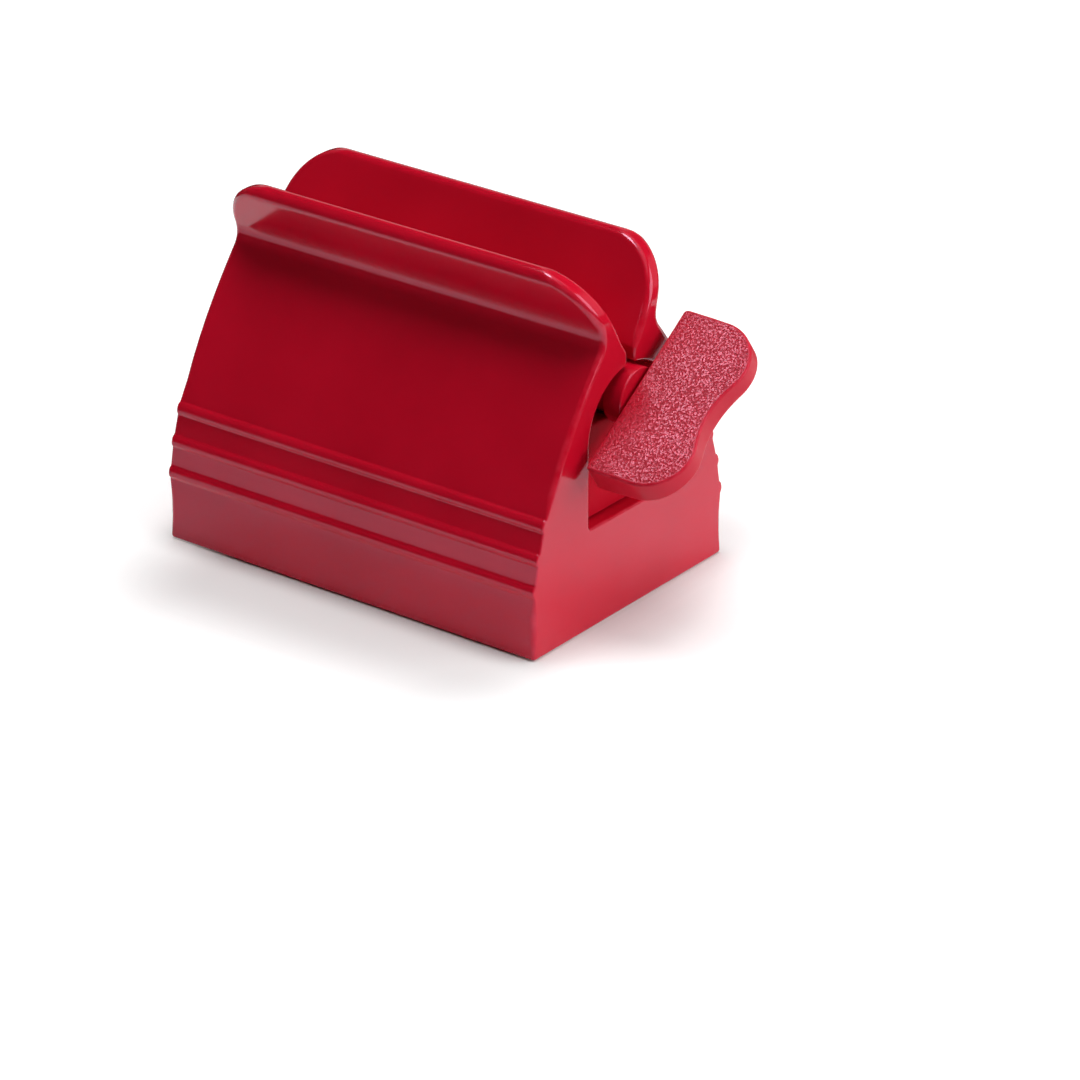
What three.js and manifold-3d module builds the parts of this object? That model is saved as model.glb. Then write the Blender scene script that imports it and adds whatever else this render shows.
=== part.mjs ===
// Toothpaste tube squeezer: a one-piece body whose two flared jaws form a funnel over a roll tunnel,
// and a winding key that turns in the tunnel and can be drawn out of its end with the rolled-up tube.
// Millimetres, +Z up, +X along the key towards its handle. The origin is the middle of the footprint box.
import * as THREE from 'three';
import { mergeVertices } from 'three/addons/utils/BufferGeometryUtils.js';
import Module from 'manifold-3d';

const wasm = await Module();
wasm.setup();

// Clearances
const fitClearance = 0.25;
const turnClearance = 0.3;

// Body
const bodyLength = 65;
const bodyDepth = 43.5;
const bodyHeight = 51.6;
const wall = 2.4;
const skirtHeight = 6;
const skirtPull = 13;
const neckPull = 12;
const jawSlope = THREE.MathUtils.degToRad(39);
const neckHeight = 41.75;
const neckRadius = 3;
const cornerRadius = 9;

// Beads along the front and back
const beadCount = 3;
const beadLowest = 10.3;
const beadPitch = 4.55;
const beadWidth = 1.7;
const beadRise = 0.42;

// Funnel between the jaws, and the throat at its foot
const funnelSlope = THREE.MathUtils.degToRad(29.2);
const lipThickness = 2.7;
const throatGap = 1.7;
const throatTop = 38.8;

// Roll tunnel under the throat
const tunnelWidth = 18.7;
const tunnelFloor = 15.2;
const tunnelCrown = 36.65;

// Bearings at the two ends of the tunnel
const doorRecess = 2;
const saddleThickness = 2.5;
const seatHalfAngle = THREE.MathUtils.degToRad(39);
const plugThickness = 3.2;
const boreDepth = 2.4;

// Key
const hubRadius = 4.3;
const hubTail = 1.5;
const grooveRadius = 3.3;
const rodRadius = 3.2;
const slotMargin = 1.5;
const journalRadius = 2.4;
const tangLength = 7;
const tangWidth = 6;
const tangThickness = 2.2;
const handleStandOff = 1.7;
const handleLength = 27.6;
const handleReach = 13.4;
const handleRoot = 4.8;
const handleRim = 2.8;
const lobeRadius = 6.3;
const waistDepth = 1.4;
const handleTilt = THREE.MathUtils.degToRad(34.5);

// How finely round stretches are divided
const curveSteps = 10;
const turnSteps = 32;

// Derived places
const endX = bodyLength / 2;
const halfDepth = bodyDepth / 2;
const tunnelHalf = tunnelWidth / 2;
const archCentre = tunnelCrown - tunnelHalf;
const axisHeight = tunnelCrown - turnClearance - hubRadius;
const beyond = bodyLength;
const saddleFront = endX - doorRecess;
const saddleBack = saddleFront - saddleThickness;
const hubBack = saddleBack - hubTail;
const hubFront = endX + handleStandOff - turnClearance;
const handleStart = endX + handleStandOff;
const plugFront = -endX + fitClearance;
const plugBack = plugFront + plugThickness;
const rodBack = plugBack + turnClearance;
const journalTip = plugBack - boreDepth + turnClearance;

// The outside and the funnel share the lip's direction and its normal, in the plane of depth and height
const lipAlong = new THREE.Vector2(Math.sin(funnelSlope), Math.cos(funnelSlope));
const lipOut = new THREE.Vector2(Math.cos(funnelSlope), -Math.sin(funnelSlope));
const throatEdge = new THREE.Vector2(throatGap / 2, throatTop);
const lipFoot = throatEdge.clone().addScaledVector(lipOut, lipThickness);
const crestRadius = lipThickness / 2;
const lipMiddle = throatEdge.clone().addScaledVector(lipOut, crestRadius);
const crest = lipMiddle.clone().addScaledVector(
  lipAlong, (bodyHeight - crestRadius - lipMiddle.y) / lipAlong.y);

// The neck is a round between the lip's outside and the leaning side
const neckCorner = lipFoot.clone().addScaledVector(lipAlong, (neckHeight - lipFoot.y) / lipAlong.y);
const sideUp = new THREE.Vector2(-Math.sin(jawSlope), Math.cos(jawSlope));
const sideOut = new THREE.Vector2(Math.cos(jawSlope), Math.sin(jawSlope));
const neckTurn = jawSlope + funnelSlope;
const neckStart = neckCorner.clone().addScaledVector(sideUp, -neckRadius * Math.tan(neckTurn / 2));
const neckCentre = neckStart.clone().addScaledVector(sideOut, neckRadius);

// The side leans in from the top of the skirt to the neck
const sideCurve = new THREE.CubicBezierCurve(
  new THREE.Vector2(halfDepth, skirtHeight),
  new THREE.Vector2(halfDepth, skirtHeight + skirtPull),
  neckStart.clone().addScaledVector(sideUp, -neckPull),
  neckStart);

function toSolid(geometry) {
  geometry.deleteAttribute('normal');
  geometry.deleteAttribute('uv');
  const merged = mergeVertices(geometry);
  const vertProperties = new Float32Array(merged.attributes.position.array);
  const triVerts = new Uint32Array(merged.index.array);
  return new wasm.Manifold(new wasm.Mesh({ numProp: 3, vertProperties, triVerts }));
}

function toGeometry(solid) {
  const mesh = solid.getMesh();
  const geometry = new THREE.BufferGeometry();
  geometry.setAttribute('position', new THREE.BufferAttribute(mesh.vertProperties, mesh.numProp));
  geometry.setIndex(new THREE.BufferAttribute(mesh.triVerts, 1));
  geometry.computeVertexNormals();
  return geometry;
}

// A shape drawn in depth and height becomes a bar along X
function barAlongX(shape, fromX, toX) {
  const geometry = new THREE.ExtrudeGeometry(shape, {
    depth: toX - fromX, bevelEnabled: false, curveSegments: curveSteps });
  geometry.applyMatrix4(new THREE.Matrix4().makeBasis(
    new THREE.Vector3(0, 1, 0), new THREE.Vector3(0, 0, 1), new THREE.Vector3(1, 0, 0)));
  geometry.translate(fromX, 0, 0);
  return toSolid(geometry);
}

// A shape drawn in length and height becomes a bar through the depth
function barAlongY(shape, depth) {
  const geometry = new THREE.ExtrudeGeometry(shape, {
    depth, bevelEnabled: false, curveSegments: curveSteps });
  geometry.applyMatrix4(new THREE.Matrix4().makeBasis(
    new THREE.Vector3(1, 0, 0), new THREE.Vector3(0, 0, 1), new THREE.Vector3(0, -1, 0)));
  geometry.translate(0, depth / 2, 0);
  return toSolid(geometry);
}

function block(sizeX, sizeY, sizeZ, centreX) {
  const geometry = new THREE.BoxGeometry(sizeX, sizeY, sizeZ);
  geometry.translate(centreX, 0, 0);
  return toSolid(geometry);
}

function mirrored(points) {
  return points.map((point) => new THREE.Vector2(-point.x, point.y)).reverse();
}

// Up the outside of one side, over the crest, and down the funnel and throat into the tunnel
function sidePoints() {
  const path = new THREE.Path();
  path.moveTo(halfDepth, 0);
  path.lineTo(halfDepth, skirtHeight);
  path.curves.push(sideCurve);
  path.currentPoint.copy(sideCurve.v3);
  path.absarc(neckCentre.x, neckCentre.y, neckRadius, Math.PI + jawSlope, Math.PI - funnelSlope, true);
  path.absarc(crest.x, crest.y, crestRadius, -funnelSlope, Math.PI - funnelSlope, false);
  path.lineTo(throatEdge.x, throatEdge.y);
  path.lineTo(throatEdge.x, archCentre);
  return path.getPoints(curveSteps);
}

function bodyOutline() {
  const side = sidePoints();
  return new THREE.Shape([...side, ...mirrored(side)]);
}

// Seen from the front, the jaws have round upper corners
function frontOutline() {
  const shape = new THREE.Shape();
  shape.moveTo(-endX, 0);
  shape.lineTo(endX, 0);
  shape.absarc(endX - cornerRadius, bodyHeight - cornerRadius, cornerRadius, 0, Math.PI / 2, false);
  shape.absarc(cornerRadius - endX, bodyHeight - cornerRadius, cornerRadius, Math.PI / 2, Math.PI, false);
  return shape;
}

// The tunnel's section, drawn in by a clearance for what fits in it
function tunnelOutline(inset) {
  const half = tunnelHalf - inset;
  const shape = new THREE.Shape();
  shape.moveTo(-half, tunnelFloor + inset);
  shape.lineTo(half, tunnelFloor + inset);
  shape.absarc(0, archCentre, half, 0, Math.PI, false);
  return shape;
}

// The underside is hollow, one wall inside the outside
function hollowOutline() {
  const side = [new THREE.Vector2(halfDepth - wall, -wall)];
  for (let step = 0; step <= curveSteps; step += 1) {
    const along = sideCurve.getTangent(step / curveSteps);
    const inward = new THREE.Vector2(-along.y, along.x);
    side.push(sideCurve.getPoint(step / curveSteps).addScaledVector(inward, wall));
  }
  return new THREE.Shape([...side, ...mirrored(side)]);
}

// Half-oval bead on the outside, sunk one rise into it
function beadPoints(height) {
  let low = 0;
  let high = 1;
  while (high - low > 1e-6) {
    const middle = (low + high) / 2;
    if (sideCurve.getPoint(middle).y < height) low = middle;
    else high = middle;
  }
  const centre = sideCurve.getPoint(low);
  const along = sideCurve.getTangent(low);
  const outward = new THREE.Vector2(along.y, -along.x);
  const place = (across, rise) => centre.clone()
    .addScaledVector(along, across)
    .addScaledVector(outward, rise);
  const points = [place(beadWidth / 2, -beadRise), place(-beadWidth / 2, -beadRise)];
  for (let step = 0; step <= curveSteps; step += 1) {
    const angle = Math.PI * (1 - step / curveSteps);
    points.push(place(Math.cos(angle) * beadWidth / 2, Math.sin(angle) * beadRise));
  }
  return points;
}

function bodyShell() {
  let solid = barAlongX(bodyOutline(), -endX, endX);
  for (let bead = 0; bead < beadCount; bead += 1) {
    const points = beadPoints(beadLowest + bead * beadPitch);
    solid = solid.add(barAlongX(new THREE.Shape(points), -endX, endX));
    solid = solid.add(barAlongX(new THREE.Shape(mirrored(points)), -endX, endX));
  }
  solid = solid.intersect(barAlongY(frontOutline(), bodyDepth * 2));
  const coreHalf = tunnelHalf + wall;
  const core = new THREE.Shape([
    new THREE.Vector2(-coreHalf, tunnelFloor - wall), new THREE.Vector2(coreHalf, tunnelFloor - wall),
    new THREE.Vector2(coreHalf, bodyHeight), new THREE.Vector2(-coreHalf, bodyHeight)]);
  const hollow = barAlongX(hollowOutline(), wall - endX, endX - wall);
  const tunnel = barAlongX(tunnelOutline(0), -beyond, beyond);
  return solid.subtract(hollow.subtract(barAlongX(core, -beyond, beyond))).subtract(tunnel);
}

// Plate across the doorway, with a round seat for the groove of the hub
function bearingSaddle() {
  const half = tunnelHalf - fitClearance;
  const seatRadius = grooveRadius + turnClearance;
  const top = axisHeight - seatRadius * Math.cos(seatHalfAngle);
  const seatStart = seatHalfAngle - Math.PI / 2;
  const shape = new THREE.Shape();
  shape.moveTo(-half, tunnelFloor + fitClearance);
  shape.lineTo(half, tunnelFloor + fitClearance);
  shape.lineTo(half, top);
  shape.absarc(0, axisHeight, seatRadius, seatStart, -Math.PI - seatStart, true);
  shape.lineTo(-half, top);
  return barAlongX(shape, saddleBack, saddleFront);
}

// Plug in the far end of the tunnel, with a blind bore for the journal
function tailBearing() {
  const plug = barAlongX(tunnelOutline(fitClearance), plugFront, plugBack);
  const hole = new THREE.Shape().absarc(0, axisHeight, journalRadius + turnClearance, 0, Math.PI * 2, false);
  return plug.subtract(barAlongX(hole, plugBack - boreDepth, beyond));
}

// Hub with a groove for the saddle, slotted rod, journal, and a flat tang that the handle fits over
function keyShaft() {
  const grooveBack = saddleBack - fitClearance;
  const grooveFront = saddleFront + fitClearance;
  const profile = [
    [0, journalTip], [journalRadius, journalTip], [journalRadius, rodBack], [rodRadius, rodBack],
    [rodRadius, hubBack], [hubRadius, hubBack], [hubRadius, grooveBack], [grooveRadius, grooveBack],
    [grooveRadius, grooveFront], [hubRadius, grooveFront], [hubRadius, hubFront], [0, hubFront],
  ].map(([radius, along]) => new THREE.Vector2(radius, along));
  const turned = new THREE.LatheGeometry(profile, turnSteps);
  turned.rotateZ(-Math.PI / 2);
  const slotLength = hubBack - rodBack - 2 * slotMargin;
  const slot = block(slotLength, bodyDepth, throatGap, (hubBack + rodBack) / 2);
  const tangTip = hubFront + tangLength;
  const tang = block(tangTip - endX, tangWidth, tangThickness, (tangTip + endX) / 2);
  return toSolid(turned).subtract(slot).add(tang);
}

// Wing outline: straight inner edge, two round lobes, and an outer edge drawn in between them
function handleOutline() {
  const half = handleLength / 2;
  const lobeX = handleReach - lobeRadius;
  const lobeY = half - lobeRadius;
  const waistRadius = ((lobeRadius - waistDepth) ** 2 + lobeY ** 2 - lobeRadius ** 2) / (2 * waistDepth);
  const waistX = handleReach - waistDepth + waistRadius;
  const meet = Math.atan2(lobeY, waistX - lobeX);
  const shape = new THREE.Shape();
  shape.moveTo(0, -half);
  shape.lineTo(lobeX, -half);
  shape.absarc(lobeX, -lobeY, lobeRadius, -Math.PI / 2, meet, false);
  shape.absarc(waistX, 0, waistRadius, Math.PI + meet, Math.PI - meet, true);
  shape.absarc(lobeX, lobeY, lobeRadius, -meet, Math.PI / 2, false);
  shape.lineTo(0, half);
  return shape;
}

// Seen from its end, the plate is crowned: thick at the hub and thinner at the rim
function handleSection() {
  const shape = new THREE.Shape();
  shape.moveTo(0, -handleRoot / 2);
  shape.quadraticCurveTo(handleReach / 2, -handleRoot / 2, handleReach, -handleRim / 2);
  shape.lineTo(handleReach, handleRim / 2);
  shape.quadraticCurveTo(handleReach / 2, handleRoot / 2, 0, handleRoot / 2);
  return shape;
}

function keyHandle() {
  const plate = new THREE.ExtrudeGeometry(handleOutline(), {
    depth: handleRoot * 2, bevelEnabled: false, curveSegments: curveSteps });
  plate.translate(0, 0, -handleRoot);
  const crowned = toSolid(plate).intersect(barAlongY(handleSection(), handleLength * 2));
  const socketLength = hubFront + tangLength + turnClearance - handleStart;
  const socket = block(
    socketLength * 2, tangWidth + 2 * turnClearance, tangThickness + 2 * turnClearance, 0);
  return crowned.subtract(socket).translate([handleStart, 0, 0]);
}

const bodyRed = { color: '#b3081c', roughness: 0.18, metalness: 0 };
const innerRed = { color: '#a3071a', roughness: 0.3, metalness: 0 };
const gripRed = { color: '#bb2438', roughness: 0.5, metalness: 0 };

function mesh(name, solid, finish) {
  const piece = new THREE.Mesh(toGeometry(solid), new THREE.MeshStandardMaterial(finish));
  piece.name = name;
  return piece;
}

const body = new THREE.Group();
body.add(mesh('body_shell', bodyShell(), bodyRed));
body.add(mesh('tail_bearing', tailBearing(), innerRed));

const cradle = new THREE.Group();
cradle.add(mesh('bearing_saddle', bearingSaddle(), innerRed));

const key = new THREE.Group();
key.add(mesh('key_shaft', keyShaft(), bodyRed));
key.add(mesh('key_handle', keyHandle(), gripRed));
key.position.z = axisHeight;
key.rotation.x = handleTilt;

// The handle reaches past one end, so the footprint box's middle lies off the body's middle
const assembly = new THREE.Group();
assembly.add(body, cradle, key);
assembly.position.x = -(handleStart + handleReach - endX) / 2;

const squeezer = new THREE.Group();
squeezer.add(assembly);

export default squeezer;
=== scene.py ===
# Looks of the tube squeezer round its fixed frame: smooth glossy mouldings with rounded edges, a grained
# handle, a white floor and soft lamps. The object's sizes are written in millimetres and become metres in
# its meshes. The stage is written in metres.
import math

import bpy
import numpy as np
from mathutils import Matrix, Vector
from mathutils.geometry import delaunay_2d_cdt


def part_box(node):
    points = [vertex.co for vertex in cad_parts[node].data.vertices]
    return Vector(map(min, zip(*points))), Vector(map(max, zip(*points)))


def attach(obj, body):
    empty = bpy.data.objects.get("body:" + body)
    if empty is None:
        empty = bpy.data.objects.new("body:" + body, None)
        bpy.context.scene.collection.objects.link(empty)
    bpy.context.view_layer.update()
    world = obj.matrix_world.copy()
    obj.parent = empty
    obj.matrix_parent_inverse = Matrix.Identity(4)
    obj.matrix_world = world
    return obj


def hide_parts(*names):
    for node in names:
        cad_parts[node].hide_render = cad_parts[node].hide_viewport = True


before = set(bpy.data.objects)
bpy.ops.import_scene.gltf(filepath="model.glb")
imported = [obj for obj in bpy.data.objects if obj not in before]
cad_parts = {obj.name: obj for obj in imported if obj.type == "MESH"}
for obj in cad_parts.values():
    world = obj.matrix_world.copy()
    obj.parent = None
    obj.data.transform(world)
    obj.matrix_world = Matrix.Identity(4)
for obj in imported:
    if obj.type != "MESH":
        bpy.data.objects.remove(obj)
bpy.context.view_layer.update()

MM = 0.001

# Sizes shared with the solids
FIT_CLEARANCE = 0.25
TURN_CLEARANCE = 0.3
BODY_LENGTH = 65.0
BODY_DEPTH = 43.5
BODY_HEIGHT = 51.6
WALL = 2.4
SKIRT_HEIGHT = 6.0
SKIRT_PULL = 13.0
NECK_PULL = 12.0
JAW_SLOPE = math.radians(39)
NECK_HEIGHT = 41.75
NECK_RADIUS = 3.0
CORNER_RADIUS = 9.0
BEAD_COUNT = 3
BEAD_LOWEST = 10.3
BEAD_PITCH = 4.55
BEAD_WIDTH = 1.7
BEAD_RISE = 0.42
FUNNEL_SLOPE = math.radians(29.2)
LIP_THICKNESS = 2.7
THROAT_GAP = 1.7
THROAT_TOP = 38.8
TUNNEL_WIDTH = 18.7
TUNNEL_FLOOR = 15.2
TUNNEL_CROWN = 36.65
DOOR_RECESS = 2.0
SADDLE_THICKNESS = 2.5
SEAT_HALF_ANGLE = math.radians(39)
PLUG_THICKNESS = 3.2
BORE_DEPTH = 2.4
HUB_RADIUS = 4.3
HUB_TAIL = 1.5
GROOVE_RADIUS = 3.3
ROD_RADIUS = 3.2
SLOT_MARGIN = 1.5
JOURNAL_RADIUS = 2.4
TANG_LENGTH = 7.0
TANG_WIDTH = 6.0
TANG_THICKNESS = 2.2
HANDLE_STAND_OFF = 1.7
HANDLE_LENGTH = 27.6
HANDLE_REACH = 13.4
HANDLE_ROOT = 4.8
HANDLE_RIM = 2.8
LOBE_RADIUS = 6.3
WAIST_DEPTH = 1.4
HANDLE_TILT = math.radians(34.5)

# Edge rounds, which the solids leave sharp, and the hairline round the pressed-in plug
BASE_ROUND = 0.6
BASE_BAND = 3 * BASE_ROUND
THROAT_ROUND = 1.5
TUNNEL_ROUND = 0.6
BEAD_FOOT = 0.35
BEAD_FOOT_ANGLE = math.radians(25)
END_ROUND = 0.9
END_ROUND_BASE = 0.5
END_ROUND_BEAD = 0.34
END_ROUND_TUNNEL = 0.4
END_ROUND_BLEND = 1.2
PLATE_ROUND = 0.3
PLATE_CORNER = 0.5
HUB_ROUND = 0.35
HANDLE_ROUND = 0.4
HANDLE_CORNER = 0.8
PRESSED_SEAM = 0.06

# Mesh fineness and tolerances
TRACE_STEP = 0.02
TURN_STEP = math.radians(4)
LENGTH_STEP = 3.0
ROUND_STEPS = 6
LATHE_STEPS = 72
SLOT_STEPS = 6
CURVE_POINTS = 4000
ARC_POINTS = 40
SKIN_MARGIN = WALL / 3
EASE_DIVISOR = 2.1
CAP_STEP = 1.0
CAP_MARGIN = 0.6
PLACE_DECIMALS = 5
SAME_PLACE = 1e-6
SAME_CAP_PLACE = 1e-7
SMALL_TURN = 1e-4

# Derived places
END_X = BODY_LENGTH / 2
HALF_DEPTH = BODY_DEPTH / 2
TUNNEL_HALF = TUNNEL_WIDTH / 2
ARCH_CENTRE = TUNNEL_CROWN - TUNNEL_HALF
AXIS_HEIGHT = TUNNEL_CROWN - TURN_CLEARANCE - HUB_RADIUS
SADDLE_FRONT = END_X - DOOR_RECESS
SADDLE_BACK = SADDLE_FRONT - SADDLE_THICKNESS
HUB_BACK = SADDLE_BACK - HUB_TAIL
HUB_FRONT = END_X + HANDLE_STAND_OFF - TURN_CLEARANCE
HANDLE_START = END_X + HANDLE_STAND_OFF
HANDLE_THINNING = (HANDLE_ROOT - HANDLE_RIM) / HANDLE_REACH ** 2
PLUG_FRONT = FIT_CLEARANCE - END_X
PLUG_BACK = PLUG_FRONT + PLUG_THICKNESS
ROD_BACK = PLUG_BACK + TURN_CLEARANCE
JOURNAL_TIP = PLUG_BACK - BORE_DEPTH + TURN_CLEARANCE
CREST_RADIUS = LIP_THICKNESS / 2
body_low, body_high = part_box("body_shell")
BODY_MIDDLE = (body_low.x + body_high.x) / 2 / MM


def unit(angle):
    return np.array([math.cos(angle), math.sin(angle)])


LIP_ALONG = np.array([math.sin(FUNNEL_SLOPE), math.cos(FUNNEL_SLOPE)])
LIP_OUT = unit(-FUNNEL_SLOPE)
THROAT_EDGE = np.array([THROAT_GAP / 2, THROAT_TOP])
LIP_FOOT = THROAT_EDGE + LIP_OUT * LIP_THICKNESS
LIP_MIDDLE = THROAT_EDGE + LIP_OUT * CREST_RADIUS
CREST = LIP_MIDDLE + LIP_ALONG * (BODY_HEIGHT - CREST_RADIUS - LIP_MIDDLE[1]) / LIP_ALONG[1]
NECK_CORNER = LIP_FOOT + LIP_ALONG * (NECK_HEIGHT - LIP_FOOT[1]) / LIP_ALONG[1]
SIDE_UP = np.array([-math.sin(JAW_SLOPE), math.cos(JAW_SLOPE)])
SIDE_OUT = unit(JAW_SLOPE)
NECK_START = NECK_CORNER - SIDE_UP * NECK_RADIUS * math.tan((JAW_SLOPE + FUNNEL_SLOPE) / 2)
NECK_CENTRE = NECK_START + SIDE_OUT * NECK_RADIUS


# Traces: dense runs of points in a plane, with the solid on their left
def trace_line(start, end):
    start, end = np.array(start, float), np.array(end, float)
    count = max(2, int(np.linalg.norm(end - start) / TRACE_STEP))
    return start + (end - start) * np.linspace(0, 1, count)[:, None]


def trace_arc(centre, radius, start, end):
    count = max(ARC_POINTS, int(abs(end - start) * radius / TRACE_STEP))
    angles = np.linspace(start, end, count)
    return np.array(centre) + radius * np.column_stack([np.cos(angles), np.sin(angles)])


def trace_length(points):
    return np.concatenate([[0], np.cumsum(np.linalg.norm(np.diff(points, axis=0), axis=1))])


def apart(points):
    """Marks the points of a run that don't repeat the one before."""
    return np.concatenate([[True], np.linalg.norm(np.diff(points, axis=0), axis=1) > SAME_PLACE])


def joined(pieces):
    points = np.concatenate(pieces)
    return points[apart(points)]


def right_normals(points, closed):
    if closed:
        along = np.roll(points, -1, axis=0) - np.roll(points, 1, axis=0)
    else:
        along = np.gradient(points, axis=0)
    along /= np.linalg.norm(along, axis=1)[:, None]
    return np.column_stack([along[:, 1], -along[:, 0]])


def eased_corner(leave, corner, arrive, reach):
    """A curve from one point to another that bends towards the corner between them."""
    t = np.linspace(0, 1, int(2 * reach / TRACE_STEP))[:, None]
    return (1 - t) ** 2 * leave + 2 * t * (1 - t) * corner + t ** 2 * arrive


def plain_side():
    """The leaning side from the skirt to the neck, evenly divided, without its beads."""
    t = np.linspace(0, 1, CURVE_POINTS)[:, None]
    corners = [np.array([HALF_DEPTH, SKIRT_HEIGHT]), np.array([HALF_DEPTH, SKIRT_HEIGHT + SKIRT_PULL]),
               NECK_START - SIDE_UP * NECK_PULL, NECK_START]
    weights = [(1 - t) ** 3, 3 * t * (1 - t) ** 2, 3 * t ** 2 * (1 - t), t ** 3]
    curve = sum(weight * corner for weight, corner in zip(weights, corners))
    length = trace_length(curve)
    even = np.linspace(0, length[-1], int(length[-1] / TRACE_STEP))
    return np.column_stack([np.interp(even, length, curve[:, axis]) for axis in (0, 1)])


def bead_height(away):
    """A half-oval bead with a soft foot, by the distance from its middle."""
    half = BEAD_WIDTH / 2
    start = half * math.cos(BEAD_FOOT_ANGLE)
    rise = BEAD_RISE * math.sin(BEAD_FOOT_ANGLE)
    slope = -BEAD_RISE / half / math.tan(BEAD_FOOT_ANGLE)
    oval = BEAD_RISE * np.sqrt(np.clip(1 - (away / half) ** 2, 0, 1))
    t = np.clip((away - start) / BEAD_FOOT, 0, 1)
    foot = rise * (2 * t ** 3 - 3 * t ** 2 + 1) + slope * BEAD_FOOT * (t ** 3 - 2 * t ** 2 + t)
    return np.where(away < start, oval, foot)


def beaded_side():
    """The side with its beads, and the end round that each of its points takes."""
    side = plain_side()
    length = trace_length(side)
    height = np.zeros(len(side))
    near_bead = np.zeros(len(side), bool)
    for bead in range(BEAD_COUNT):
        middle = np.interp(BEAD_LOWEST + bead * BEAD_PITCH, side[:, 1], length)
        away = np.abs(length - middle)
        height += bead_height(away)
        near_bead |= away < BEAD_PITCH / 2
    outward = right_normals(side, False)
    return side + outward * height[:, None], np.where(near_bead, END_ROUND_BEAD, END_ROUND)


def half_profile():
    """From the middle of the base round the rear side and the funnel to the middle of the tunnel's floor.
    Each stretch comes with the round that its edge takes at the body's ends."""
    throat_run = THROAT_ROUND * math.tan(FUNNEL_SLOPE / 2)
    funnel_end = THROAT_EDGE + LIP_ALONG * throat_run
    edge_y = THROAT_GAP / 2 + TUNNEL_ROUND
    edge_reach = TUNNEL_HALF + TUNNEL_ROUND
    edge_angle = math.acos(edge_y / edge_reach)
    edge = (edge_y, ARCH_CENTRE + edge_reach * math.sin(edge_angle))
    floor_round = (TUNNEL_HALF - TUNNEL_ROUND, TUNNEL_FLOOR + TUNNEL_ROUND)
    base = [
        trace_line((0, 0), (HALF_DEPTH - WALL, 0)),
        trace_line((HALF_DEPTH - WALL, 0), (HALF_DEPTH - BASE_ROUND, 0)),
        trace_arc((HALF_DEPTH - BASE_ROUND, BASE_ROUND), BASE_ROUND, -math.pi / 2, 0),
        trace_line((HALF_DEPTH, BASE_ROUND), (HALF_DEPTH, BASE_BAND)),
    ]
    skirt = [trace_line((HALF_DEPTH, BASE_BAND), (HALF_DEPTH, SKIRT_HEIGHT))]
    side, side_rounds = beaded_side()
    lip = [
        trace_arc(NECK_CENTRE, NECK_RADIUS, math.pi + JAW_SLOPE, math.pi - FUNNEL_SLOPE),
        trace_line(NECK_CENTRE - LIP_OUT * NECK_RADIUS, CREST + LIP_OUT * CREST_RADIUS),
        trace_arc(CREST, CREST_RADIUS, -FUNNEL_SLOPE, math.pi - FUNNEL_SLOPE),
        trace_line(CREST - LIP_OUT * CREST_RADIUS, funnel_end),
    ]
    tunnel = [
        trace_arc(funnel_end + LIP_OUT * THROAT_ROUND, THROAT_ROUND, math.pi - FUNNEL_SLOPE, math.pi),
        trace_line((THROAT_GAP / 2, THROAT_TOP - throat_run), (THROAT_GAP / 2, edge[1])),
        trace_arc(edge, TUNNEL_ROUND, math.pi, math.pi + edge_angle),
        trace_arc((0, ARCH_CENTRE), TUNNEL_HALF, edge_angle, 0),
        trace_line((TUNNEL_HALF, ARCH_CENTRE), (TUNNEL_HALF, floor_round[1])),
        trace_arc(floor_round, TUNNEL_ROUND, 0, -math.pi / 2),
        trace_line((floor_round[0], TUNNEL_FLOOR), (0, TUNNEL_FLOOR)),
    ]
    stretches = [(base, END_ROUND_BASE), (skirt, END_ROUND), ([side], side_rounds),
                 (lip, END_ROUND), (tunnel, END_ROUND_TUNNEL)]
    runs = [np.concatenate(pieces) for pieces, _ in stretches]
    rounds = np.concatenate([np.broadcast_to(size, len(run)) for run, (_, size) in zip(runs, stretches)])
    points = np.concatenate(runs)
    fresh = apart(points)
    return points[fresh], rounds[fresh]


def thinned(points, first, last, bend=None):
    """The few indices of a dense trace that keep its turns, its length steps and another bend's turns."""
    along = np.diff(points, axis=0)
    angle = np.unwrap(np.arctan2(along[:, 1], along[:, 0]))
    bend = np.zeros(len(points)) if bend is None else bend
    length = trace_length(points)
    kept = [first]
    for index in range(first + 1, last):
        turned = max(abs(angle[index] - angle[kept[-1]]), abs(bend[index] - bend[kept[-1]]))
        if turned >= TURN_STEP or length[index] - length[kept[-1]] >= LENGTH_STEP:
            kept.append(index)
    return kept + [last]


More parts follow.
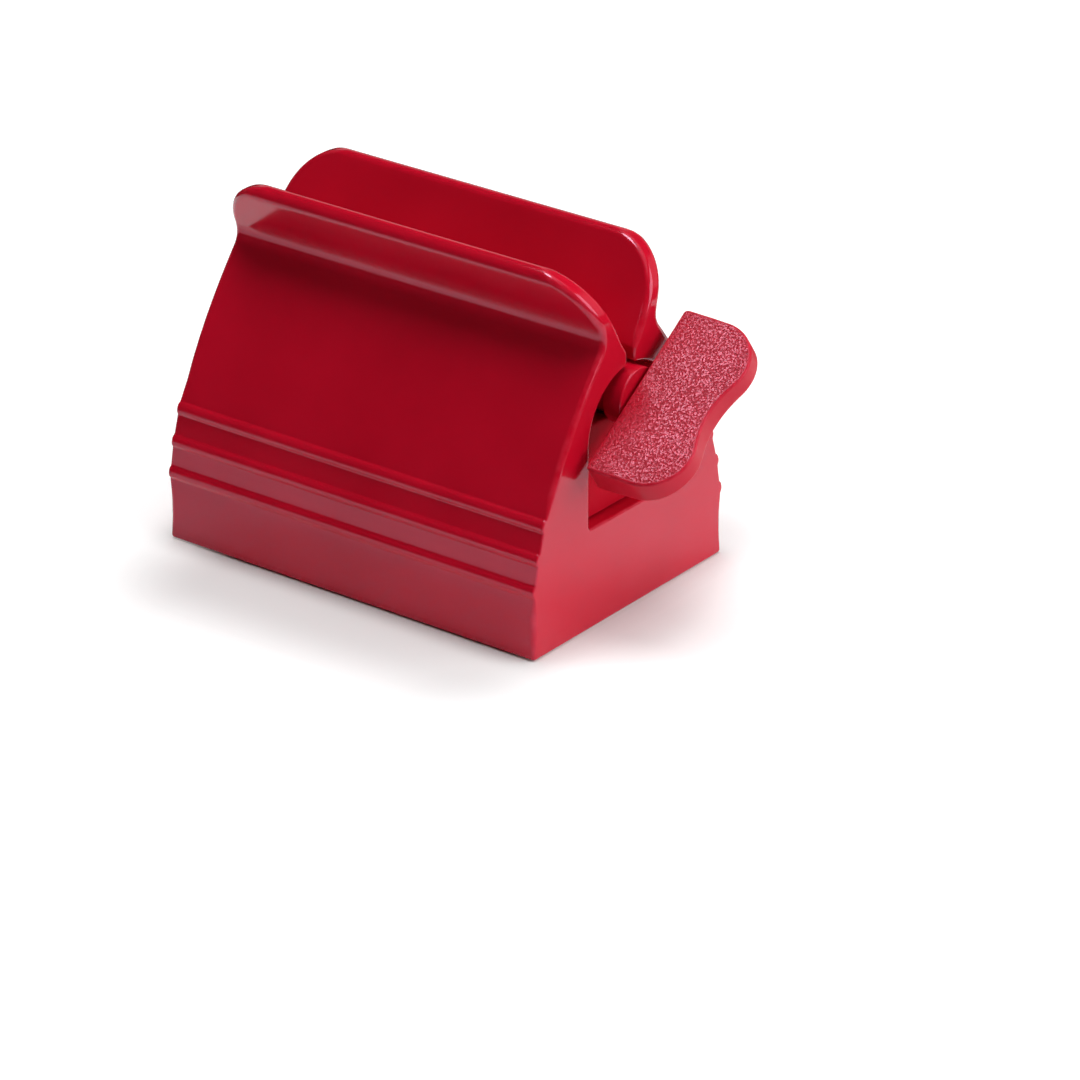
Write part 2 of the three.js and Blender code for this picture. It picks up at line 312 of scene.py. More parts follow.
class MeshBuilder:
    """Collects points and faces with a normal at each face corner, and makes the object."""

    def __init__(self):
        self.points = []
        self.edge = []
        self.places = {}
        self.faces = []
        self.normals = []
        self.materials = []

    def point(self, place, edge=0.0):
        """The number of the point at a place, with its share of edge wear."""
        key = tuple(round(float(value), PLACE_DECIMALS) for value in place)
        if key not in self.places:
            self.places[key] = len(self.points)
            self.points.append([(key[0] + BODY_MIDDLE) * MM, key[1] * MM, key[2] * MM])
            self.edge.append(edge)
        return self.places[key]

    def face(self, corners, normals, material=0):
        kept = [k for k in range(len(corners)) if corners[k] != corners[k - 1]]
        if len({corners[k] for k in kept}) < 3:
            return
        self.faces.append([corners[k] for k in kept])
        self.normals.extend(tuple(normals[k]) for k in kept)
        self.materials.append(material)

    def flat(self, corners, normal):
        self.face(corners, [normal] * len(corners))

    def patch(self, spots):
        """A face over pairs of a point's number and its normal."""
        self.face(numbers_of(spots), [normal for _, normal in spots])

    def make(self, name, body, node, slot, materials):
        mesh = bpy.data.meshes.new(name)
        mesh.from_pydata(self.points, [], self.faces)
        for material in materials:
            mesh.materials.append(material)
        mesh.polygons.foreach_set("material_index", self.materials)
        mesh.polygons.foreach_set("use_smooth", [True] * len(self.faces))
        wear = mesh.attributes.new("edge", "FLOAT", "POINT")
        wear.data.foreach_set("value", self.edge)
        mesh.normals_split_custom_set(self.normals)
        piece = bpy.data.objects.new(name, mesh)
        bpy.context.scene.collection.objects.link(piece)
        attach(piece, body)
        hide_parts(node)


def numbers_of(spots):
    return [number for number, _ in spots]


def edge_share(step):
    """How near a step of a round lies to the round's middle."""
    return math.sin(math.pi * step / ROUND_STEPS)


def turned_between(start, end, share):
    """A unit direction part of the way round from one to the other."""
    angle = math.acos(max(-1.0, min(1.0, float(np.dot(start, end)))))
    if angle < SMALL_TURN:
        return start
    return (math.sin((1 - share) * angle) * start + math.sin(share * angle) * end) / math.sin(angle)


def body_rows():
    """Rows of points across the body, one for each kept point of the profile, and the rows of the lip."""
    half, rounds = half_profile()
    window = int(END_ROUND_BLEND / TRACE_STEP)
    padded = np.concatenate([rounds[window:0:-1], rounds, rounds[-2:-window - 2:-1]])
    rounds = np.convolve(padded, np.ones(2 * window + 1) / (2 * window + 1), "valid")
    loop = np.concatenate([half, (half * [-1, 1])[-2:0:-1]])
    normals = right_normals(loop, True)[:len(half)]
    centres = half - normals * rounds[:, None]
    corner_height = BODY_HEIGHT - CORNER_RADIUS
    top = int(np.argmax(centres[:, 1]))
    high = np.nonzero(centres[:, 1] >= corner_height)[0]
    rim = int(np.argmax(half[:, 0] > HALF_DEPTH - WALL - TRACE_STEP / 4))
    corner_turn = np.arcsin(np.clip((centres[:, 1] - corner_height) / (CORNER_RADIUS - rounds), 0, 1))
    rising = thinned(half, int(high[0]), top, corner_turn)
    falling = [top + int(np.argmin(np.abs(centres[top:high[-1] + 1, 1] - centres[index, 1])))
               for index in rising[-2::-1]]
    last = len(half) - 1
    kept = thinned(half, rim, rising[0])[:-1] + rising + falling + thinned(half, falling[-1], last)[1:-1]
    rows = []
    for index in kept:
        size = rounds[index]
        normal = np.array([0, *normals[index]])
        over = max(0.0, centres[index, 1] - corner_height)
        bend = CORNER_RADIUS - size
        along = math.sqrt(max(0.0, bend ** 2 - over ** 2))
        end_normal = np.array([along, 0, min(over, bend)]) / bend
        centre = np.array([END_X - CORNER_RADIUS + along, *centres[index]])
        ring = []
        for step in range(ROUND_STEPS + 1):
            way = turned_between(normal, end_normal, step / ROUND_STEPS)
            ring.append((centre + size * way, way, edge_share(step)))
        rows.append((half[index], normal, ring))
    lip = range(kept.index(rising[0]), kept.index(falling[-1]) + 1)
    return rows, lip


def hollow_outline():
    """The underside's hollow, from one foot of the wall round to the other."""
    side = plain_side()
    inner = side - right_normals(side, False) * WALL
    core = TUNNEL_HALF + WALL
    meet = int(np.argmin(np.abs(inner[:, 0] - core)))
    curve = inner[thinned(inner, 0, meet)]
    ceiling = TUNNEL_FLOOR - WALL
    right = [(HALF_DEPTH - WALL, 0.0), *map(tuple, curve), (core, ceiling)]
    return right + [(-y, z) for y, z in reversed(right)]


def add_hollow(builder, wall_x):
    """The inside of the underside's hollow, up to its two end walls."""
    outline = hollow_outline()
    low = [builder.point((-wall_x, *spot)) for spot in outline]
    high = [builder.point((wall_x, *spot)) for spot in outline]
    for index in range(len(outline) - 1):
        step = np.array(outline[index + 1]) - np.array(outline[index])
        step /= np.linalg.norm(step)
        inward = (0, -step[1], step[0])
        builder.flat([low[index], high[index], high[index + 1], low[index + 1]], inward)
    builder.flat(low, (1, 0, 0))
    builder.flat(high[::-1], (-1, 0, 0))


def body_mesh():
    """The one-piece moulding: rows of skin round its profile, two flat ends, and the hollow below."""
    builder = MeshBuilder()
    rows, lip = body_rows()
    wall_x = END_X - WALL
    flip_x = np.array([-1, 1, 1])
    flip_y = np.array([1, -1, 1])

    def across(row, side):
        point, normal, ring = row
        reach = min(wall_x, ring[0][0][0] - SKIN_MARGIN)
        middle = [(np.array([x, *point]), normal, 0.0) for x in (-reach, reach)]
        near = [(place * flip_x, way * flip_x, edge) for place, way, edge in reversed(ring)]
        spots = near + middle + ring
        return [(builder.point(place * side, edge), way * side) for place, way, edge in spots]

    grid = [across(row, np.ones(3)) for row in rows] + [across(row, flip_y) for row in reversed(rows)]
    count = len(grid)
    gap = len(grid[0]) // 2 - 1
    for index in range(count):
        here, after = grid[index], grid[(index + 1) % count]
        for step in range(len(here) - 1):
            if index == count - 1 and step == gap:
                continue
            builder.patch([here[step], after[step], after[step + 1], here[step + 1]])
    lips = [list(lip), [count - 1 - index for index in reversed(lip)]]
    flat_rows = [index for index in range(count)
                 if not any(jaw[0] < index < jaw[-1] for jaw in lips)]
    for column, order, way in ((-1, 1, 1.0), (0, -1, -1.0)):
        builder.flat([grid[index][column][0] for index in flat_rows][::order], (way, 0, 0))
        for jaw in lips:
            for step in range(len(jaw) // 2):
                strip = (jaw[step], jaw[step + 1], jaw[-2 - step], jaw[-1 - step])
                builder.patch([grid[index][column] for index in strip][::order])
    add_hollow(builder, wall_x)
    return builder


# Plates: an outline with rounded edges on both faces
def soft_loop(pieces, reaches):
    """Joins traces into a closed outline, easing each piece's start corner by its reach."""
    runs = []
    for index, piece in enumerate(pieces):
        length = trace_length(piece)
        start, end = reaches[index], reaches[(index + 1) % len(pieces)]
        inside = piece[(length >= start) & (length <= length[-1] - end)]
        if start:
            before = pieces[index - 1]
            before_length = trace_length(before)
            leave = before[np.searchsorted(before_length, before_length[-1] - start)]
            runs.append(eased_corner(leave, piece[0], inside[0], start))
        runs.append(inside)
    points = joined(runs)
    if np.linalg.norm(points[0] - points[-1]) < TRACE_STEP / 2:
        points = points[:-1]
    return points


def nearest(points, spot):
    return int(np.argmin(np.linalg.norm(points - spot, axis=1)))


def loop_samples(points, forced=()):
    """The kept points of a closed outline with their outward normals."""
    normals = right_normals(points, True)
    marks = sorted({0, len(points) - 1, *(nearest(points, spot) for spot in forced)})
    kept = []
    for first, last in zip(marks, marks[1:]):
        kept += thinned(points, first, last)[:-1]
    return points[kept], normals[kept]


def inside_loop(spot, loop):
    y, z = loop[:, 0], loop[:, 1]
    next_y, next_z = np.roll(y, -1), np.roll(z, -1)
    crosses = (z > spot[1]) != (next_z > spot[1])
    with np.errstate(divide="ignore", invalid="ignore"):
        cut = y + (spot[1] - z) * (next_y - y) / (next_z - z)
    return bool(np.count_nonzero(crosses & (spot[0] < cut)) % 2)


def cap_triangles(loop, hole=(), extra=()):
    """Triangles over an outline, left open over a hole.
    Their numbers run over the loop, the hole and the extra points inside."""
    spots = [Vector(spot) for part in (loop, hole, extra) for spot in part]
    edges = [(k, (k + 1) % len(loop)) for k in range(len(loop))]
    edges += [(len(loop) + k, len(loop) + (k + 1) % len(hole)) for k in range(len(hole))]
    points, _, faces, origins, _, _ = delaunay_2d_cdt(spots, edges, [], 0, SAME_CAP_PLACE)
    found = []
    for face in faces:
        middle = np.mean([points[k] for k in face], axis=0)
        if not inside_loop(middle, np.array(loop)):
            continue
        if len(hole) and inside_loop(middle, np.array(hole)):
            continue
        (ay, az), (by, bz), (cy, cz) = (points[k] for k in face)
        upright = (by - ay) * (cz - az) > (bz - az) * (cy - ay)
        found.append([origins[k][0] for k in (face if upright else face[::-1])])
    return found


def add_plate(builder, outline, normals, low, high, size, place, turn, wall_share=None, gap=()):
    """Rings of an edge-rounded plate from its upper face to its lower one, with a gap in its wall."""
    inset = outline - normals * size
    rings = []
    for heights, side in ((high, 1.0), (low, -1.0)):
        steps = range(ROUND_STEPS + 1)
        for step in (steps if side > 0 else reversed(steps)):
            angle = math.pi / 2 * step / ROUND_STEPS
            ring = []
            for spot, way in zip(inset, normals):
                level = heights(spot) - side * size * (1 - math.cos(angle))
                flat = spot + way * size * math.sin(angle)
                normal = turn(*(way * math.sin(angle)), side * math.cos(angle))
                ring.append((builder.point(place(*flat, level), edge_share(step)), normal))
            rings.append(ring)
        if side > 0 and wall_share:
            for part in (wall_share, -wall_share):
                ring = []
                for spot, way in zip(inset, normals):
                    level = part * (heights(spot) - size)
                    ring.append((builder.point(place(*(spot + way * size), level)), turn(*way, 0.0)))
                rings.append(ring)
    count = len(outline)
    for level, (upper, lower) in enumerate(zip(rings, rings[1:])):
        for k in range(count):
            if level == ROUND_STEPS + 1 and k in gap:
                continue
            after = (k + 1) % count
            builder.patch([upper[k], lower[k], lower[after], upper[after]])
    return rings


def along_x(y, z, x):
    return np.array([x, y, z])


def saddle_mesh():
    """The plate across the doorway, with the seat that carries the hub's groove."""
    builder = MeshBuilder()
    half = TUNNEL_HALF - FIT_CLEARANCE
    foot = TUNNEL_FLOOR + FIT_CLEARANCE
    seat = GROOVE_RADIUS + TURN_CLEARANCE
    top = AXIS_HEIGHT - seat * math.cos(SEAT_HALF_ANGLE)
    lip = seat * math.sin(SEAT_HALF_ANGLE)
    pieces = [
        trace_line((-half, foot), (half, foot)), trace_line((half, foot), (half, top)),
        trace_line((half, top), (lip, top)),
        trace_arc((0, AXIS_HEIGHT), seat, SEAT_HALF_ANGLE - math.pi / 2, -SEAT_HALF_ANGLE - math.pi / 2),
        trace_line((-lip, top), (-half, top)), trace_line((-half, top), (-half, foot))]
    outline, normals = loop_samples(soft_loop(pieces, [PLATE_CORNER] * len(pieces)))
    rings = add_plate(builder, outline, normals, lambda spot: SADDLE_BACK, lambda spot: SADDLE_FRONT,
                      PLATE_ROUND, along_x, along_x)
    builder.flat(numbers_of(rings[0]), (1, 0, 0))
    builder.flat(numbers_of(rings[-1])[::-1], (-1, 0, 0))
    return builder


def plug_mesh():
    """The plug in the tunnel's far end; it is pressed in, so only a hairline is left round it."""
    builder = MeshBuilder()
    half = TUNNEL_HALF - PRESSED_SEAM
    foot = TUNNEL_FLOOR + PRESSED_SEAM
    pieces = [
        trace_line((-half, foot), (half, foot)), trace_line((half, foot), (half, ARCH_CENTRE)),
        trace_arc((0, ARCH_CENTRE), half, 0, math.pi), trace_line((-half, ARCH_CENTRE), (-half, foot))]
    outline, normals = loop_samples(soft_loop(pieces, [PLATE_CORNER, PLATE_CORNER, 0, 0]))
    rings = add_plate(builder, outline, normals, lambda spot: PLUG_FRONT, lambda spot: PLUG_BACK,
                      PLATE_ROUND, along_x, along_x)
    builder.flat(numbers_of(rings[-1])[::-1], (-1, 0, 0))
    ways = [unit(2 * math.pi * k / LATHE_STEPS) for k in range(LATHE_STEPS)]
    bore = [np.array([0, AXIS_HEIGHT]) + way * (JOURNAL_RADIUS + TURN_CLEARANCE) for way in ways]
    mouth = [builder.point(along_x(*spot, PLUG_BACK)) for spot in bore]
    floor = [builder.point(along_x(*spot, PLUG_BACK - BORE_DEPTH)) for spot in bore]
    numbers = numbers_of(rings[0]) + mouth
    for face in cap_triangles(list(outline - normals * PLATE_ROUND), bore):
        builder.flat([numbers[k] for k in face], (1, 0, 0))
    for k in range(LATHE_STEPS):
        after = (k + 1) % LATHE_STEPS
        builder.face([mouth[k], mouth[after], floor[after], floor[k]],
                     [along_x(*-ways[j], 0.0) for j in (k, after, after, k)])
    builder.flat(floor, (1, 0, 0))
    return builder


# The key is drawn with its handle level and turned to its stored angle
def key_turned(x, y, z):
    return np.array([x, y * math.cos(HANDLE_TILT) - z * math.sin(HANDLE_TILT),
                     y * math.sin(HANDLE_TILT) + z * math.cos(HANDLE_TILT)])


def key_placed(x, y, z):
    return key_turned(x, y, z) + np.array([0, 0, AXIS_HEIGHT])


def handle_placed(u, v, level):
    return key_placed(HANDLE_START + u, v, level)


def handle_crown(spot):
    """Half the handle's thickness, which falls away from its root."""
    return HANDLE_ROOT / 2 - HANDLE_THINNING / 2 * spot[0] ** 2


def handle_outline():
    """A straight root, two round lobes and a drawn-in waist between them."""
    half = HANDLE_LENGTH / 2
    lobe_x = HANDLE_REACH - LOBE_RADIUS
    lobe_y = half - LOBE_RADIUS
    waist_radius = ((LOBE_RADIUS - WAIST_DEPTH) ** 2 + lobe_y ** 2 - LOBE_RADIUS ** 2) / (2 * WAIST_DEPTH)
    waist_x = HANDLE_REACH - WAIST_DEPTH + waist_radius
    meet = math.atan2(lobe_y, waist_x - lobe_x)
    pieces = [
        trace_line((0, half), (0, -half)), trace_line((0, -half), (lobe_x, -half)),
        trace_arc((lobe_x, -lobe_y), LOBE_RADIUS, -math.pi / 2, meet),
        trace_arc((waist_x, 0), waist_radius, math.pi + meet, math.pi - meet),
        trace_arc((lobe_x, lobe_y), LOBE_RADIUS, -meet, math.pi / 2),
        trace_line((lobe_x, half), (0, half))]
    return soft_loop(pieces, [HANDLE_CORNER, HANDLE_CORNER, 0, 0, 0, 0])


def add_socket(builder, mouth):
    """The blind socket for the tang, from the widths, heights and point numbers round its mouth."""
    depth = HUB_FRONT + TANG_LENGTH + TURN_CLEARANCE - HANDLE_START
    deep = [builder.point(handle_placed(depth, v, level)) for v, level, _ in mouth]
    for k, (v, level, number) in enumerate(mouth):
        after = (k + 1) % len(mouth)
        way = np.array([level - mouth[after][1], mouth[after][0] - v])
        way /= np.linalg.norm(way)
        builder.flat([deep[k], deep[after], mouth[after][2], number], key_turned(0.0, *way))
    builder.flat(deep[::-1], key_turned(-1.0, 0.0, 0.0))


def add_crowned_faces(builder, inset, rings):
    """The handle's two broad faces, over a grid of points inside their edges."""
    grained = 1
    grid = np.arange(CAP_STEP, HANDLE_LENGTH, CAP_STEP)
    extra = [(u, v - HANDLE_LENGTH / 2) for u in grid for v in grid if u < HANDLE_REACH]
    extra = [spot for spot in extra if inside_loop(spot, inset)
             and np.min(np.linalg.norm(inset - spot, axis=1)) > CAP_MARGIN]
    edge = list(map(tuple, inset))
    triangles = cap_triangles(edge, (), extra)
    for ring, side in ((rings[0], 1.0), (rings[-1], -1.0)):
        numbers = numbers_of(ring)
        numbers += [builder.point(handle_placed(*spot, side * handle_crown(spot))) for spot in extra]
        ways = [Vector((HANDLE_THINNING * u, 0.0, side)).normalized() for u, _ in edge + extra]
        slopes = [key_turned(*way) for way in ways]
        for face in triangles:
            order = face if side > 0 else face[::-1]
            builder.face([numbers[k] for k in order], [slopes[k] for k in order], grained)


def handle_mesh():
    """The crowned wing plate; its faces take the grained finish and its rim the smooth one."""
    builder = MeshBuilder()
    socket_y = TANG_WIDTH / 2 + TURN_CLEARANCE
    socket_z = TANG_THICKNESS / 2 + TURN_CLEARANCE
    sides = [(0, socket_y), (0, -socket_y)]
    outline, normals = loop_samples(handle_outline(), sides)
    first, last = (nearest(outline, spot) for spot in sides)
    share = socket_z / (HANDLE_ROOT / 2 - HANDLE_ROUND)
    rings = add_plate(builder, outline, normals, lambda spot: -handle_crown(spot), handle_crown,
                      HANDLE_ROUND, handle_placed, key_turned, share, range(first, last))
    stretch = range(first, last + 1)
    mouth = [(outline[k][1], socket_z, rings[ROUND_STEPS + 1][k][0]) for k in stretch]
    mouth += [(outline[k][1], -socket_z, rings[ROUND_STEPS + 2][k][0]) for k in reversed(stretch)]
    add_socket(builder, mouth)
    add_crowned_faces(builder, outline - normals * HANDLE_ROUND, rings)
    return builder


def soft_run(corners, size):
    """An open trace through corners, each eased by a size that its shorter side can take."""
    pieces = [trace_line(start, end) for start, end in zip(corners, corners[1:])]
    reaches = [min(size, trace_length(piece)[-1] / EASE_DIVISOR) for piece in pieces]
    runs = []
    for index, piece in enumerate(pieces):
        length = trace_length(piece)
        start = 0 if index == 0 else min(reaches[index - 1], reaches[index])
        end = 0 if index == len(pieces) - 1 else min(reaches[index], reaches[index + 1])
        inside = piece[(length >= start) & (length <= length[-1] - end)]
        if start:
            runs.append(eased_corner(runs[-1][-1], piece[0], inside[0], start))
        runs.append(inside)
    return joined(runs)


def slotted_turn(wide):
    """Angles round the shaft: a wide count of steps over each half of the rod, with a few across each
    mouth of its slot."""
    cut = math.asin(THROAT_GAP / 2 / ROD_RADIUS)
    angles = []
    for start in (cut, math.pi + cut):
        angles += [start + (math.pi - 2 * cut) * k / wide for k in range(wide)]
        angles += [start + math.pi - 2 * cut + 2 * cut * k / SLOT_STEPS for k in range(SLOT_STEPS)]
    return angles


def add_tang(builder, face_numbers, face_loop):
    """The hub's front face and the flat tang that stands on it."""
    half_y = TANG_WIDTH / 2
    half_z = TANG_THICKNESS / 2
    corners = [(-half_y, -half_z), (half_y, -half_z), (half_y, half_z), (-half_y, half_z)]
    root = [builder.point(key_placed(HUB_FRONT, *corner)) for corner in corners]
    tip = [builder.point(key_placed(HUB_FRONT + TANG_LENGTH, *corner)) for corner in corners]
    numbers = face_numbers + root
    for face in cap_triangles(face_loop, corners):
        builder.flat([numbers[k] for k in face], (1, 0, 0))
    for k, way in enumerate(((0, -1), (1, 0), (0, 1), (-1, 0))):
        after = (k + 1) % len(corners)
        builder.flat([root[k], root[after], tip[after], tip[k]], key_turned(0.0, *way))
    builder.flat(tip, (1, 0, 0))


def shaft_mesh():
    """Hub, slotted rod, journal and tang, turned as one piece."""
    builder = MeshBuilder()
    groove_back = SADDLE_BACK - FIT_CLEARANCE
    groove_front = SADDLE_FRONT + FIT_CLEARANCE
    face_radius = (HUB_RADIUS + math.hypot(TANG_WIDTH, TANG_THICKNESS) / 2) / 2
    front = [(HUB_FRONT, face_radius), (HUB_FRONT, HUB_RADIUS), (groove_front, HUB_RADIUS),
             (groove_front, GROOVE_RADIUS), (groove_back, GROOVE_RADIUS), (groove_back, HUB_RADIUS),
             (HUB_BACK, HUB_RADIUS), (HUB_BACK, ROD_RADIUS), (HUB_BACK - SLOT_MARGIN, ROD_RADIUS)]
    back = [(ROD_BACK + SLOT_MARGIN, ROD_RADIUS), (ROD_BACK, ROD_RADIUS), (ROD_BACK, JOURNAL_RADIUS),
            (JOURNAL_TIP, JOURNAL_RADIUS), (JOURNAL_TIP, JOURNAL_RADIUS / 2)]
    wide = LATHE_STEPS // 2 - SLOT_STEPS
    angles = slotted_turn(wide)
    count = len(angles)

    def ring(spot, way):
        x, radius = spot
        return [(builder.point(key_placed(x, *(radius * unit(angle)))),
                 key_turned(way[0], *(way[1] * unit(angle)))) for angle in angles]

    grids = []
    for corners in (front, back):
        trace = soft_run(corners, HUB_ROUND)
        ways = right_normals(trace, False)
        grids.append([ring(trace[k], ways[k]) for k in thinned(trace, 0, len(trace) - 1)])
    fore, aft = grids[0][-1], grids[1][0]
    bands = [pair for grid in grids for pair in zip(grid, grid[1:])]
    for upper, lower in [*bands, (fore, aft)]:
        for k in range(count):
            if upper is fore and k % (count // 2) >= wide:
                continue
            after = (k + 1) % count
            builder.patch([upper[k], lower[k], lower[after], upper[after]])
    for k, after, way in ((0, wide, -1.0), (count // 2, count // 2 + wide, 1.0)):
        builder.flat([fore[k][0], fore[after][0], aft[after][0], aft[k][0]], key_turned(0.0, 0.0, way))
    gap = [*range(count - SLOT_STEPS, count), 0, *range(wide, wide + SLOT_STEPS + 1)]
    builder.flat([aft[k][0] for k in gap], (1, 0, 0))
    builder.flat([fore[k][0] for k in gap][::-1], (-1, 0, 0))
    builder.flat(numbers_of(grids[1][-1])[::-1], (-1, 0, 0))
    add_tang(builder, numbers_of(grids[0][0]), [face_radius * unit(angle) for angle in angles])
    return builder


# Finishes. The scales of the noises are per metre, and a range is the part of a noise that is spread out.
WHOLE = (0.0, 1.0)
DRIFT_SCALE = 45.0
DRIFT_RANGE = (0.35, 0.65)
RUB_SCALE = 400.0
RUB_RANGE = (0.4, 0.7)
RUB_SHARE = (0.0, 0.5)
GLOSS_SCALE = 260.0
GLOSS_DETAIL = 5.0
GLOSS_RANGE = (0.3, 0.7)
RIPPLE_SCALE = 900.0
RIPPLE_DETAIL = 3.0
RIPPLE_DEPTH = 0.05 * MM
GRAIN_CELL = 0.34 * MM
GRAIN_WANDER = 0.0003
GRAIN_WANDER_DETAIL = 1.0
GRAIN_DEPTH = 0.034 * MM
GRAIN_RELIEF = 1.0
GRAIN_DRIFT_SCALE = 120.0
PEBBLE_EDGE = (0.4, 0.8)
PEBBLE_ROUGHNESS = (0.4, 0.24)
PEBBLE_SHINE = (0.1, 0.29)
PLASTIC_IOR = 1.5
PLAIN_SHINE = 0.5
SHEEN = (1.0, 0.7, 0.95, 1.0)
DEEP_RED = (0.49, 0.0030, 0.0175)
BRIGHT_RED = (0.55, 0.0040, 0.0210)
WORN_RED = (0.64, 0.032, 0.060)
INNER_RED = (0.40, 0.0020, 0.0120)
# The grain's cracks are coloured darker than its pebbles: painted shade in the hollows between them.
CRACK_SHADE_RED = (0.345, 0.003, 0.012)
PEBBLE_DEEP_RED = (0.48, 0.010, 0.026)
PEBBLE_BRIGHT_RED = (0.53, 0.014, 0.034)

# Numbers of the Mix node's sockets, whose names repeat
MIX_SHARE = 0
MIX_VECTOR_A, MIX_VECTOR_B = 4, 5
MIX_COLOUR_A, MIX_COLOUR_B = 6, 7
MIX_VECTOR_RESULT = 1
MIX_COLOUR_RESULT = 2


def add_node(tree, kind, inputs=(), **settings):
    """A node with its settings; each input, by its name or number, takes a value or a link."""
    node = tree.nodes.new(kind)
    for name, value in settings.items():
        setattr(node, name, value)
    for name, value in dict(inputs).items():
        if isinstance(value, bpy.types.NodeSocket):
            tree.links.new(value, node.inputs[name])
        else:
            node.inputs[name].default_value = value
    return node


def new_material(name):
    material = bpy.data.materials.new(name)
    material.use_nodes = True
    tree = material.node_tree
    tree.nodes.clear()
    return material, tree


def object_place(tree):
    return add_node(tree, "ShaderNodeTexCoord").outputs["Object"]


def noise(tree, place, scale, detail=2.0):
    node = add_node(tree, "ShaderNodeTexNoise", {"Vector": place, "Scale": scale, "Detail": detail})
    return node.outputs["Fac"]


def remap(tree, value, source, target, interpolation="LINEAR"):
    node = add_node(tree, "ShaderNodeMapRange", {
        "Value": value, "From Min": source[0], "From Max": source[1],
        "To Min": target[0], "To Max": target[1]}, interpolation_type=interpolation)
    return node.outputs["Result"]


def blend_colour(tree, share, first, second):
    ends = [value if isinstance(value, bpy.types.NodeSocket) else (*value, 1.0) for value in (first, second)]
    node = add_node(tree, "ShaderNodeMix", {
        MIX_SHARE: share, MIX_COLOUR_A: ends[0], MIX_COLOUR_B: ends[1]}, data_type="RGBA")
    return node.outputs[MIX_COLOUR_RESULT]


def drifting_colour(tree, place, scale, deep, bright):
    return blend_colour(tree, remap(tree, noise(tree, place, scale), DRIFT_RANGE, WHOLE), deep, bright)


def coat(tree, colour, roughness, shine, height, relief, depth):
    """Ends a plastic finish: its colour, gloss and relief meet in one shader."""
    bump = add_node(tree, "ShaderNodeBump", {"Height": height, "Strength": relief, "Distance": depth})
    shader = add_node(tree, "ShaderNodeBsdfPrincipled", {
        "Base Color": colour, "Roughness": roughness, "Normal": bump.outputs["Normal"],
        "IOR": PLASTIC_IOR, "Specular Tint": SHEEN, "Specular IOR Level": shine})
    add_node(tree, "ShaderNodeOutputMaterial", {"Surface": shader.outputs["BSDF"]})


def plastic(name, deep, bright, roughness, ripple, shine=PLAIN_SHINE):
    """Moulded plastic: slow colour drift, worn edges, uneven gloss and a faint ripple in the surface."""
    material, tree = new_material(name)
    place = object_place(tree)
    edge = add_node(tree, "ShaderNodeAttribute", attribute_name="edge").outputs["Fac"]
    patches = remap(tree, noise(tree, place, RUB_SCALE), RUB_RANGE, RUB_SHARE)
    rubbed = add_node(tree, "ShaderNodeMath", {0: edge, 1: patches}, operation="MULTIPLY").outputs[0]
    colour = blend_colour(tree, rubbed, drifting_colour(tree, place, DRIFT_SCALE, deep, bright), WORN_RED)
    gloss = remap(tree, noise(tree, place, GLOSS_SCALE, GLOSS_DETAIL), GLOSS_RANGE, roughness)
    waves = noise(tree, place, RIPPLE_SCALE, RIPPLE_DETAIL)
    coat(tree, colour, gloss, shine, waves, ripple, RIPPLE_DEPTH)
    return material


def grain(name, crack_shade, deep, bright):
    """Leather-grained plastic: pebbles about one cell across, shinier than the cracks between, and paler
    because the cracks carry a darker colour that is painted shade.
    """
    material, tree = new_material(name)
    place = object_place(tree)
    wander = add_node(tree, "ShaderNodeTexNoise", {
        "Vector": place, "Scale": 1 / GRAIN_CELL, "Detail": GRAIN_WANDER_DETAIL})
    shifted = add_node(tree, "ShaderNodeMix", {
        MIX_SHARE: GRAIN_WANDER, MIX_VECTOR_A: place, MIX_VECTOR_B: wander.outputs["Color"]},
        data_type="VECTOR")
    pebbles = add_node(tree, "ShaderNodeTexVoronoi", {
        "Vector": shifted.outputs[MIX_VECTOR_RESULT], "Scale": 1 / GRAIN_CELL}, feature="F1")
    top = remap(tree, pebbles.outputs["Distance"], PEBBLE_EDGE, (1.0, 0.0))
    # The cracks take the darker colour, painted shade between the pebbles; the relief itself comes from the
    # bump.
    colour = blend_colour(tree, top, crack_shade, drifting_colour(tree, place, GRAIN_DRIFT_SCALE, deep, bright))
    roughness = remap(tree, top, WHOLE, PEBBLE_ROUGHNESS)
    shine = remap(tree, top, WHOLE, PEBBLE_SHINE)
    coat(tree, colour, roughness, shine, top, GRAIN_RELIEF, GRAIN_DEPTH)
    return material


body_finish = plastic("glossy_red", DEEP_RED, BRIGHT_RED, roughness=(0.08, 0.16), ripple=0.04)
key_finish = plastic("key_red", DEEP_RED, BRIGHT_RED, roughness=(0.14, 0.24), ripple=0.05)
inner_finish = plastic("inner_red", INNER_RED, DEEP_RED, roughness=(0.5, 0.65), ripple=0.1, shine=0.04)
rim_finish = plastic("rim_red", DEEP_RED, BRIGHT_RED, roughness=(0.36, 0.46), ripple=0.06, shine=0.3)
grip_finish = grain("grained_red", CRACK_SHADE_RED, PEBBLE_DEEP_RED, PEBBLE_BRIGHT_RED)

body_mesh().make("moulded_body", "body", "body_shell", "body_red", [body_finish])
plug_mesh().make("tail_plug", "body", "tail_bearing", "inner_red", [inner_finish])
saddle_mesh().make("saddle_plate", "cradle", "bearing_saddle", "inner_red", [inner_finish])
shaft_mesh().make("winding_shaft", "key", "key_shaft", "key_red", [key_finish])
handle_mesh().make("thumb_handle", "key", "key_handle", "grip_red", [rim_finish, grip_finish])

